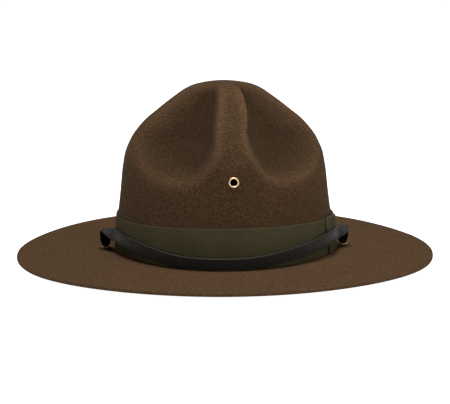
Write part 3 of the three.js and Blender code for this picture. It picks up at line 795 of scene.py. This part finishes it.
def felt_body(material):
    """The crown and brim: an outer skin from the peak to the rim, and the same skin a wall
    further in, joined round the rim."""
    bearings = np.arange(FELT_COLUMNS) * 360 / FELT_COLUMNS
    heights, reaches = crown_rows()
    crown = crown_outer(bearings[None, :], heights[:, None], reaches[:, None])
    wall = outward(bearings)
    fillet = [
        crown[0] + wall * FOOT_FILLET * (1 - np.sin(t)) + [0, 0, FOOT_FILLET * (1 - np.cos(t))]
        for t in np.radians(FOOT_TURNS)
    ]
    crown = crown[heights * CROWN_HEIGHT > FOOT_FILLET]
    shares = np.linspace(FOOT_FILLET / BRIM_WIDTH, 1, int(BRIM_WIDTH / BRIM_ROW_STEP) + 1)
    shares[-1] = 1 - EDGE_ROUND / BRIM_WIDTH
    brim = brim_top(bearings[None, :], shares[:, None])
    outer = np.concatenate([crown[::-1], np.array(fillet)[::-1], brim])

    peak = np.array([0, 0, BRIM_TOP + CROWN_HEIGHT])
    down = np.gradient(outer, axis=0)
    down[0] = outer[0] - peak
    around = np.roll(outer, -1, axis=1) - np.roll(outer, 1, axis=1)
    normals = unit(np.cross(down, around))
    normals[-1] = [0, 0, 1]
    if normals[-1, 0, 2] * normals[0, 0, 2] < 0:
        normals[:-1] *= -1
    brim_rows = len(brim)
    wall_thickness = np.full(len(outer), CROWN_WALL, float)
    wall_thickness[-brim_rows:] = BRIM_THICKNESS
    inner = outer - normals * wall_thickness[:, None, None]
    inner[-brim_rows:] = brim - [0, 0, BRIM_THICKNESS]

    rim_top = brim_top(bearings, 1)
    rim_out = unit(rim_top - brim[-1])
    upper_edge = []
    lower_edge = []
    for t in np.radians(EDGE_TURNS):
        out = brim[-1] + rim_out * EDGE_ROUND * math.sin(t)
        fall = EDGE_ROUND * (1 - math.cos(t))
        upper_edge.append(out - [0, 0, fall])
        lower_edge.append(out - [0, 0, BRIM_THICKNESS - fall])

    rings = np.concatenate([outer, upper_edge, lower_edge[::-1], inner[::-1]])
    rows = len(rings)
    crown_count = len(outer) - brim_rows
    skin = outer[:crown_count]
    skin_heights = (skin[:, 0, 2] - BRIM_TOP) / CROWN_HEIGHT
    # Painted light and shade for the felt, read by its material: the crown's from its shape,
    # the brim's a little lighter.
    relief = np.full((rows, FELT_COLUMNS), BRIM_PAINTED_LIGHT)
    relief[:crown_count] = felt_light_and_shade(skin, normals[:crown_count], bearings, skin_heights)
    points = np.concatenate([rings.reshape(-1, 3), [peak, peak - [0, 0, CROWN_WALL]]])
    faces = ring_faces(rows, FELT_COLUMNS)
    top, under = rows * FELT_COLUMNS, rows * FELT_COLUMNS + 1
    last = (rows - 1) * FELT_COLUMNS
    for i in range(FELT_COLUMNS):
        j = (i + 1) % FELT_COLUMNS
        faces.append((top, j, i))
        faces.append((under, last + i, last + j))
    piece = make_piece("felt", points, faces, material, "felt_body")
    set_attribute(piece, "relief", [*relief.ravel(), relief[0].mean(), BRIM_PAINTED_LIGHT])
    cut_eyelet_holes(piece)


def cut_eyelet_holes(piece):
    radius = EYELET_BORE_RADIUS + EYELET_BARREL_WALL + GAP / 2
    angles = np.linspace(0, 2 * math.pi, EYELET_STEPS, endpoint=False)
    circle = np.stack([radius * np.cos(angles), radius * np.sin(angles)], -1)
    for centre, facing in (crown_eyelet_seat(), brim_eyelet_seat(-1), brim_eyelet_seat(1)):
        ends = [
            np.c_[circle, np.full(EYELET_STEPS, z)]
            for z in (-EYELET_CUT_REACH, EYELET_CUT_REACH)
        ]
        points = stood_on(np.concatenate(ends), centre, facing)
        faces = ring_faces(2, EYELET_STEPS)
        faces.append(tuple(range(EYELET_STEPS))[::-1])
        faces.append(tuple(range(EYELET_STEPS, 2 * EYELET_STEPS)))
        mesh = bpy.data.meshes.new("cutter")
        mesh.from_pydata((points * MM).tolist(), [], faces)
        face_out(mesh)
        cutter = bpy.data.objects.new("cutter", mesh)
        bpy.context.scene.collection.objects.link(cutter)
        hole = piece.modifiers.new("hole", "BOOLEAN")
        hole.operation = "DIFFERENCE"
        hole.solver = "EXACT"
        hole.object = cutter
        bpy.context.view_layer.update()
        shape = piece.evaluated_get(bpy.context.evaluated_depsgraph_get())
        cut = bpy.data.meshes.new_from_object(shape)
        piece.modifiers.clear()
        piece.data = cut
        bpy.data.objects.remove(cutter)
    piece.data.polygons.foreach_set("use_smooth", [True] * len(piece.data.polygons))


def band_width(bearing):
    """The band's width. Its upper edge stands highest at the front and back."""
    return BAND_WIDTH - BAND_TOP_WAVE * np.cos(2 * np.radians(bearing))


def rib_height(along):
    """The grosgrain's relief at a distance along the ribbon, from 0 in a groove to 1."""
    return np.abs(np.cos(math.pi * along / RIB_PITCH)) ** RIB_FULLNESS


def ribbon_section(width):
    """The ribbon's outer face from its lower edge to its upper one: up, and how much of the
    relief is there. The woven edges are smooth."""
    rows = [0, RIBBON_EDGE_ROW, SELVEDGE_WIDTH / 2, SELVEDGE_WIDTH]
    inside = SELVEDGE_WIDTH * FULL_RIBS_START
    middle = np.linspace(inside, width - inside, RIBBON_ROWS)
    ups = np.array([*rows, *middle, *(width - np.array(rows[::-1]))])
    ribbed = np.where((ups > SELVEDGE_WIDTH) & (ups < width - SELVEDGE_WIDTH), 1, 0)
    return ups, ribbed


def hat_band(material):
    oval = [CROWN_HALF_WIDTH + GAP + BAND_THICKNESS, CROWN_HALF_LENGTH + GAP + BAND_THICKNESS]
    around = 2 * math.pi * math.hypot(*oval) / math.sqrt(2)
    ribs = round(around / RIB_PITCH)
    columns = ribs * RIB_STEPS
    bearings = np.arange(columns) * 360 / columns
    along = np.arange(columns) * RIB_PITCH / RIB_STEPS
    ups, ribbed = ribbon_section(BAND_WIDTH)
    low = BRIM_TOP + GAP
    relief = rib_height(along)
    rings = []
    painted_shades = []
    stretch = band_width(bearings) / BAND_WIDTH
    for up, has_ribs in zip(ups, ribbed):
        edge = min(up, BAND_WIDTH - up)
        rounded = BAND_EDGE_ROUND * (1 - smooth01(edge / RIBBON_EDGE_REACH))
        out = GAP + BAND_THICKNESS - rounded - has_ribs * RIB_DEPTH * (1 - relief)
        rings.append(beside_wall(bearings, low + up * stretch, out))
        # Painted shade along the band's edges and in the grooves between the ribs.
        edge_shade = SELVEDGE_SHADE * (1 - smooth01(edge / SELVEDGE_WIDTH))
        painted_shades.append(np.maximum(edge_shade, has_ribs * (1 - relief) * np.ones(columns)))
    for up in (BAND_WIDTH, BAND_WIDTH * 0.5, 0):
        rings.append(beside_wall(bearings, low + up * stretch, GAP))
        painted_shades.append(np.full(columns, SELVEDGE_SHADE))
    points = np.concatenate(rings)
    faces = ring_faces(len(rings), columns, close_rows=True)
    piece = make_piece("band", points, faces, material, "hat_band")
    set_attribute(piece, "groove", np.concatenate(painted_shades))


def bow_loop(name, node, direction, length, end_wave, material):
    """One loop of the bow: the ribbon goes out from the knot, folds over at the far end and
    comes back on top of itself, gathered at the knot."""
    low = BRIM_TOP + GAP
    height = BAND_WIDTH + BOW_RISE
    seat = GAP + BAND_THICKNESS + GAP
    start = KNOT_WIDTH / 2 - BOW_UNDER_KNOT
    columns = int((length - start) / RIB_PITCH) * RIB_STEPS
    travel = np.linspace(0, 1, columns + 1)
    ups, ribbed = ribbon_section(height)
    end = 1 - BOW_THICKNESS / 2 / (length - start)
    out_shares = travel * end
    turn = np.radians(np.linspace(90, -90, BOW_FOLD_STEPS))

    def sheet_point(share, up, through):
        """through runs from 0 at the band to 1 at the outer face."""
        spread = smooth01(share / BOW_PINCH_REACH)
        pinch = BOW_PINCH_SHARE + (1 - BOW_PINCH_SHARE) * spread
        gather = (1 - spread) * BOW_GATHER_DEPTH
        wave = gather * np.cos(2 * math.pi * BOW_GATHERS * up / height)
        reach = length + table_value(end_wave, up / height)
        travelled = start + share * (reach - start)
        bearing = BOW_BEARING + direction * np.degrees(travelled / CROWN_HALF_LENGTH)
        tall = band_width(bearing) + BOW_RISE
        z = low + tall / 2 + (up / height - 0.5) * tall * pinch
        return beside_wall(bearing, z, seat + through * wave + BOW_THICKNESS * through)

    rings = []
    painted_shades = []
    along = travel * (length - start)
    relief = rib_height(along)
    for up, has_ribs in zip(ups, ribbed):
        edge = min(up, height - up)
        thin = BOW_EDGE_ROUND * (1 - smooth01(edge / RIBBON_EDGE_REACH))
        dip = has_ribs * RIB_DEPTH / BOW_THICKNESS * (1 - relief)
        top = sheet_point(out_shares, up, 1 - thin - dip)
        round_share = end + (1 - end) * np.cos(turn)
        round_through = 0.5 + (0.5 - thin) * np.sin(turn)
        nose = sheet_point(round_share, up, round_through)
        back = sheet_point(out_shares[::-1], up, thin * np.ones_like(out_shares))
        rings.append(np.concatenate([top, nose[1:-1], back]))
        # Painted shade in the grooves between the ribs, none on the fold and the back.
        smooth = np.zeros(len(nose) - 2 + len(back))
        painted_shades.append(np.concatenate([has_ribs * (1 - relief), smooth]))
    count = len(rings[0])
    points = np.concatenate(rings)
    faces = ring_faces(len(rings), count)
    faces.append(tuple(range(count))[::-1])
    last = (len(rings) - 1) * count
    faces.append(tuple(range(last, last + count)))
    piece = make_piece(name, points, faces, material, node)
    set_attribute(piece, "groove", np.concatenate(painted_shades))


def bow_knot(material):
    """The short strip of ribbon round the bow's middle."""
    ribbon_height = band_width(BOW_BEARING) + BOW_RISE
    height = ribbon_height * BOW_PINCH_SHARE + 2 * GAP
    middle = BRIM_TOP + GAP + ribbon_height / 2
    seat = GAP + BAND_THICKNESS + GAP
    across = np.linspace(-1, 1, KNOT_COLUMNS + 1)
    side = KNOT_SIDE_THICKNESS
    swell = side + (1 - side) * np.sqrt(1 - across**2 * KNOT_ROUNDNESS)
    bearing = BOW_BEARING + np.degrees(across * KNOT_WIDTH / 2 / CROWN_HALF_LENGTH)
    rings = []
    painted_shades = []
    for turn in np.linspace(0, math.pi, KNOT_ROWS + 1):
        up = -math.cos(turn)
        out = math.sin(turn) ** KNOT_FULLNESS
        relief = rib_height(up * height / 2)
        crease = KNOT_CREASE_DEPTH * np.cos(across * math.pi * KNOT_CREASES) * out
        face = seat + out * (KNOT_THICKNESS * swell + crease - RIB_DEPTH * (1 - relief))
        rings.append(beside_wall(bearing, middle + up * height / 2, face))
        # Painted shade in the grooves between the ribs, less where the strip wraps round.
        painted_shades.append(np.full(KNOT_COLUMNS + 1, (1 - relief) * out))
    backs = [beside_wall(bearing, middle + up * height / 2, seat) for up in (0.5, -0.5)]
    rings += backs
    painted_shades += [np.zeros(KNOT_COLUMNS + 1)] * len(backs)
    count = KNOT_COLUMNS + 1
    points = np.concatenate(rings)
    faces = []
    total = len(rings)
    for row in range(total):
        here = row * count
        there = (row + 1) % total * count
        for i in range(KNOT_COLUMNS):
            faces.append((here + i, here + i + 1, there + i + 1, there + i))
    faces.append(tuple(row * count for row in range(total)))
    faces.append(tuple(row * count + KNOT_COLUMNS for row in range(total))[::-1])
    piece = make_piece("bow_knot_ribbon", points, faces, material, "bow_knot")
    set_attribute(piece, "groove", np.concatenate(painted_shades))


# A station of the strap is its middle line's place, the way to one edge, and its share of the
# full width.


def front_station(bearing, height, lean_degrees, over_bow):
    lean = math.radians(lean_degrees)
    relief = over_bow * (GAP + BOW_THICKNESS + BOW_GATHER_DEPTH / 2)
    seat = GAP + BAND_THICKNESS + STRAP_STANDOFF + STRAP_THICKNESS / 2 + relief
    out = seat + STRAP_WIDTH / 2 * abs(math.sin(lean))
    edge = np.array([0, 0, -math.cos(lean)]) + outward(bearing) * math.sin(lean)
    return beside_wall(bearing, BRIM_TOP + height * STRAP_WIDTH, out), edge, 1


def back_station(bearing):
    inset = CROWN_WALL + 2 * GAP + SLIDE_WALL + SLIDE_CLEARANCE + STRAP_THICKNESS / 2
    z = STRAP_FLOOR_CLEARANCE + SLIDE_WALL + SLIDE_CLEARANCE + STRAP_WIDTH / 2
    top = z + STRAP_WIDTH / 2 + SLIDE_CLEARANCE + SLIDE_WALL
    at = beside_wall(bearing, max(top, BRIM_TOP), -inset)
    at[2] = z
    return at, np.array([0, 0, -1.0]), 1


def hook_stations(side):
    """The strap over the brim, down through its eyelet and in under the brim."""
    eyelet = brim_eyelet_seat(side)[0]

    def station(out, back, up, edge, width):
        at = eyelet + [side * out, back, up]
        return at, unit([side * edge[0], edge[1], edge[2]]), width

    def turned(degrees):
        return math.sin(math.radians(degrees)), 0, -math.cos(math.radians(degrees))

    clear_bore = EYELET_BORE_RADIUS - STRAP_BORE_CLEARANCE
    bore_share = 2 * math.sqrt(clear_bore**2 - (STRAP_THICKNESS / 2) ** 2) / STRAP_WIDTH
    bore_turn = math.radians(STRAP_BORE_TURN)
    rows = []
    for out, back, up, turn, over_bow in STRAP_TURN_LEFT if side > 0 else STRAP_TURN_RIGHT:
        out = out * BRIM_EYELET_REACH + over_bow * BOW_THICKNESS
        rows.append(station(out, back * STRAP_WIDTH, up * STRAP_ARCH_HEIGHT, turned(turn), 1))
    for back, down, turn, width in STRAP_ARCH:
        up = STRAP_ARCH_HEIGHT - down * STRAP_ARCH_RADIUS
        rows.append(station(0, back * STRAP_ARCH_RADIUS, up, turned(turn), width))
    for up, width in STRAP_DROP:
        rows.append(station(0, 0, up * STRAP_ARCH_HEIGHT, turned(90), width))

    bearing = STRAP_BACK_BEARINGS[0] if side > 0 else STRAP_BACK_BEARINGS[-1]
    wall = back_station(bearing)[0]
    way = np.array([side * (wall[0] - eyelet[0]), wall[1] - eyelet[1]])
    reach = np.linalg.norm(way)
    heading = way / reach
    across = (heading[1], -heading[0], 0)
    flat = STRAP_FLOOR_CLEARANCE + STRAP_THICKNESS / 2 - eyelet[2]

    def under(distance, up, turn, width):
        angle = math.radians(turn)
        edge = (across[0] * math.cos(angle), across[1] * math.cos(angle), -math.sin(angle))
        return station(heading[0] * distance, heading[1] * distance, up, edge, width)

    bore_edge = (math.cos(bore_turn), math.sin(bore_turn), 0)
    rows.append(station(0, 0, GAP + EYELET_FLANGE_THICKNESS, bore_edge, bore_share))
    rows.append(station(0, 0, -BRIM_THICKNESS - GAP, across, bore_share))
    fold_middle = STRAP_FOLD_RADIUS * (1 - math.sqrt(0.5))
    rows.append(under(fold_middle, flat + fold_middle, 0, bore_share))
    rows.append(under(STRAP_FOLD_RADIUS, flat, 0, bore_share))
    for along, turn, width in STRAP_UNDER_RUN:
        rise = STRAP_WIDTH / 2 * math.sin(math.radians(turn))
        rows.append(under(along * reach, flat + rise, turn, width))
    return rows


def loop_through(points, steps):
    """A smooth closed line through the points, with even steps between each two."""
    points = np.asarray(points, float)
    made = []
    count = len(points)
    shortest = 0.01
    for i in range(count):
        before, here, after, beyond = (points[(i + k) % count] for k in (-1, 0, 1, 2))
        d0, d1, d2 = (
            math.sqrt(np.linalg.norm(step))
            for step in (here - before, after - here, beyond - after)
        )
        d1 = d1 if d1 > shortest else 1.0
        d0 = d0 if d0 > shortest else d1
        d2 = d2 if d2 > shortest else d1
        pace0, pace1, pace2 = (here - before) / d0, (after - here) / d1, (beyond - after) / d2
        leave = (pace0 - (after - before) / (d0 + d1) + pace1) * d1
        arrive = (pace1 - (beyond - here) / (d1 + d2) + pace2) * d1
        t = (np.arange(steps) / steps)[:, None]
        made.append(
            here
            + leave * t
            + (3 * (after - here) - 2 * leave - arrive) * t**2
            + (2 * (here - after) + leave + arrive) * t**3
        )
    return np.concatenate(made)


def strap_section():
    """The strap's section: across as a share of half its width, and through in millimetres.
    The outer face has a crease along each edge. The last points are the inner face's."""
    half = STRAP_THICKNESS / 2
    half_width = STRAP_WIDTH / 2
    bevel = STRAP_BEVEL
    corner = bevel * STRAP_BEVEL_ROUND
    crease = half_width - STRAP_CREASE_INSET
    lip = STRAP_CREASE_WIDTH / 2
    dip = STRAP_CREASE_DEPTH * STRAP_CREASE_ROUND
    outer = [
        (half_width, half - bevel),
        (half_width - corner, half - corner),
        (half_width - bevel, half),
        (crease + lip, half),
        (crease + lip / 2, half - dip),
        (crease, half - STRAP_CREASE_DEPTH),
        (crease - lip / 2, half - dip),
        (crease - lip, half),
        (crease - 3 * lip, half + STRAP_SWELL),
    ]
    mirrored = [(-across, through) for across, through in outer[::-1]]
    inner = [
        (-half_width, bevel - half),
        (-half_width + bevel, -half),
        (0, -half),
        (half_width - bevel, -half),
        (half_width, bevel - half),
    ]
    section = [*outer, (0, half + 1.5 * STRAP_SWELL), *mirrored, *inner]
    return [(across / half_width, through) for across, through in section], len(inner)


def chin_strap(material, flesh):
    left = hook_stations(1)
    right = hook_stations(-1)[::-1]
    back = [back_station(bearing) for bearing in STRAP_BACK_BEARINGS]
    stations = [front_station(*row) for row in STRAP_FRONT_RUN] + left + back + right
    path = loop_through([s[0] for s in stations], STRAP_STEPS)
    edges = loop_through([s[1] for s in stations], STRAP_STEPS)
    widths = np.array([s[2] for s in stations], float)
    share = np.arange(STRAP_STEPS) / STRAP_STEPS
    width = (widths[:, None] * (1 - share) + np.roll(widths, -1)[:, None] * share).ravel()
    along = unit(np.roll(path, -1, axis=0) - np.roll(path, 1, axis=0))
    edges = unit(edges - along * np.sum(edges * along, axis=1, keepdims=True))
    faces_out = unit(np.cross(edges, along))
    section, inner = strap_section()
    half_width = STRAP_WIDTH / 2 * width
    points = np.stack(
        [
            path + edges * (across * half_width)[:, None] + faces_out * through
            for across, through in section
        ],
        1,
    )
    count = len(section)
    faces = ring_faces(len(path), count, close_rows=True)
    points = points.reshape(-1, 3)
    piece = make_piece("strap", points, faces, material, "chin_strap")
    piece.data.materials.append(flesh)
    for face in piece.data.polygons:
        side = face.index % count
        if count - inner <= side < count - 1:
            face.material_index = 1
    piece.data.set_sharp_from_angle(angle=math.radians(STRAP_SHARP_ANGLE))


def strap_slide(material):
    centre = back_station(BACK)[0]
    outer_deep = STRAP_THICKNESS / 2 + SLIDE_CLEARANCE + SLIDE_WALL
    outer_tall = STRAP_WIDTH / 2 + SLIDE_CLEARANCE + SLIDE_WALL

    def rounded(deep, tall, radius):
        ring = []
        for quarter in range(4):
            y = (deep - radius) * (1 if quarter in (0, 3) else -1)
            z = (tall - radius) * (1 if quarter in (0, 1) else -1)
            for k in range(SLIDE_CORNER_STEPS + 1):
                angle = math.radians(90 * (quarter + k / SLIDE_CORNER_STEPS))
                ring.append((y + radius * math.cos(angle), z + radius * math.sin(angle)))
        return np.array(ring)

    half = SLIDE_LENGTH / 2
    wall = SLIDE_WALL
    bevel = SLIDE_BEVEL
    sections = [
        (-half, wall - bevel),
        (-half + bevel, wall),
        (half - bevel, wall),
        (half, wall - bevel),
        (half, bevel),
        (half - bevel, 0),
        (-half + bevel, 0),
        (-half, bevel),
    ]
    rings = []
    for x, thick in sections:
        deep = outer_deep - wall + thick
        tall = outer_tall - wall + thick
        ring = rounded(deep, tall, SLIDE_CORNER + thick)
        rings.append(np.c_[np.full(len(ring), x), ring] + centre)
    points = np.concatenate(rings)
    faces = ring_faces(len(rings), len(rings[0]), close_rows=True)
    make_piece("slide", points, faces, material, "strap_slide")


def eyelet(name, node, seat, felt_thickness, material):
    """A barrel through the felt, with its flange rolled over on both faces."""
    bore = EYELET_BORE_RADIUS + EYELET_BORE_FLARE
    barrel = EYELET_BORE_RADIUS + EYELET_BARREL_WALL
    rim = EYELET_FLANGE_RADIUS - EYELET_ROLL_INSET
    thick = EYELET_FLANGE_THICKNESS
    top = GAP + EYELET_RISE
    bottom = -felt_thickness - GAP
    roll = (rim - bore) / 2
    middle = (rim + bore) / 2
    over = [
        (middle + roll * math.cos(t), top + EYELET_ROLL_LIFT + thick * math.sin(t))
        for t in np.linspace(0, math.pi, EYELET_ROLL_STEPS)
    ]
    back_rim = rim - EYELET_BACK_INSET
    profile = [
        *over,
        (bore, 0),
        (bore, bottom),
        *((bore + out, bottom - thick * down) for out, down in EYELET_BACK_BORE_ROUND),
        *((back_rim - inset, bottom - thick * down) for inset, down in EYELET_BACK_RIM_ROUND),
        (back_rim, bottom),
        (barrel, bottom),
        (barrel, top),
        (rim, top),
    ]
    angles = np.linspace(0, 2 * math.pi, EYELET_STEPS, endpoint=False)
    rings = [
        np.stack([r * np.cos(angles), r * np.sin(angles), np.full_like(angles, z)], -1)
        for r, z in profile
    ]
    points = stood_on(np.concatenate(rings), *seat)
    faces = ring_faces(len(rings), EYELET_STEPS, close_rows=True)
    make_piece(name, points, faces, material, node)


def build_hat():
    felt = felt_material()
    ribbon = ribbon_material()
    leather = leather_material()
    flesh = flesh_material()
    brass = brass_material()
    felt_body(felt)
    hat_band(ribbon)
    bow_loop("bow_front", "bow_front_loop", -1, BOW_FRONT_LENGTH, BOW_END_WAVE, ribbon)
    bow_loop("bow_rear", "bow_rear_loop", 1, BOW_REAR_LENGTH, BOW_FLAT_END, ribbon)
    bow_knot(ribbon)
    chin_strap(leather, flesh)
    strap_slide(brass)
    eyelet("eyelet_crown", "crown_eyelet", crown_eyelet_seat(), CROWN_WALL + GAP, brass)
    eyelet("eyelet_left", "brim_eyelet_left", brim_eyelet_seat(1), BRIM_THICKNESS, brass)
    eyelet("eyelet_right", "brim_eyelet_right", brim_eyelet_seat(-1), BRIM_THICKNESS, brass)


def add_floor():
    half = FLOOR_HALF_SIZE
    mesh = bpy.data.meshes.new("floor")
    corners = [(-half, -half, 0), (half, -half, 0), (half, half, 0), (-half, half, 0)]
    mesh.from_pydata(corners, [], [(0, 1, 2, 3)])
    floor = bpy.data.objects.new("floor", mesh)
    bpy.context.scene.collection.objects.link(floor)
    mesh.materials.append(floor_material())


def add_camera():
    azimuth = math.radians(CAMERA_AZIMUTH)
    pan = math.radians(CAMERA_PAN)
    pitch = math.radians(CAMERA_PITCH)
    roll = math.radians(CAMERA_ROLL)
    up = np.array([0, 0, 1.0])
    level = np.array([-math.sin(azimuth), math.cos(azimuth), 0])
    side = np.array([math.cos(azimuth), math.sin(azimuth), 0])
    ahead = level * math.cos(pan) + side * math.sin(pan)
    right = side * math.cos(pan) - level * math.sin(pan)
    looking = ahead * math.cos(pitch) - up * math.sin(pitch)
    above = ahead * math.sin(pitch) + up * math.cos(pitch)
    camera_up = right * math.sin(roll) + above * math.cos(roll)
    camera_right = right * math.cos(roll) - above * math.sin(roll)
    place = -level * CAMERA_DISTANCE + up * CAMERA_HEIGHT
    data = bpy.data.cameras.new("camera")
    data.lens = CAMERA_LENS
    data.sensor_width = CAMERA_SENSOR
    data.clip_start, data.clip_end = CAMERA_CLIP
    camera = bpy.data.objects.new("camera", data)
    bpy.context.scene.collection.objects.link(camera)
    turn = Matrix((camera_right, camera_up, -looking)).transposed().to_4x4()
    camera.matrix_world = Matrix.Translation(Vector(place * MM)) @ turn
    bpy.context.scene.camera = camera


def add_area_light(name, place, size, power):
    data = bpy.data.lights.new(name, "AREA")
    data.shape = "RECTANGLE"
    data.size, data.size_y = size
    data.energy = power
    light = bpy.data.objects.new(name, data)
    bpy.context.scene.collection.objects.link(light)
    light.location = place
    aim = Vector(LIGHTS_AIM) - Vector(place)
    light.rotation_mode = "QUATERNION"
    light.rotation_quaternion = aim.to_track_quat("-Z", "Y")


def add_lights():
    world = bpy.data.worlds.new("studio")
    bpy.context.scene.world = world
    world.use_nodes = True
    background = world.node_tree.nodes["Background"]
    background.inputs["Color"].default_value = (1, 1, 1, 1)
    background.inputs["Strength"].default_value = WORLD_STRENGTH
    for light in LIGHTS:
        add_area_light(*light)


add_camera()
add_floor()
add_lights()
bpy.context.scene.view_settings.view_transform = "Standard"
build_hat()
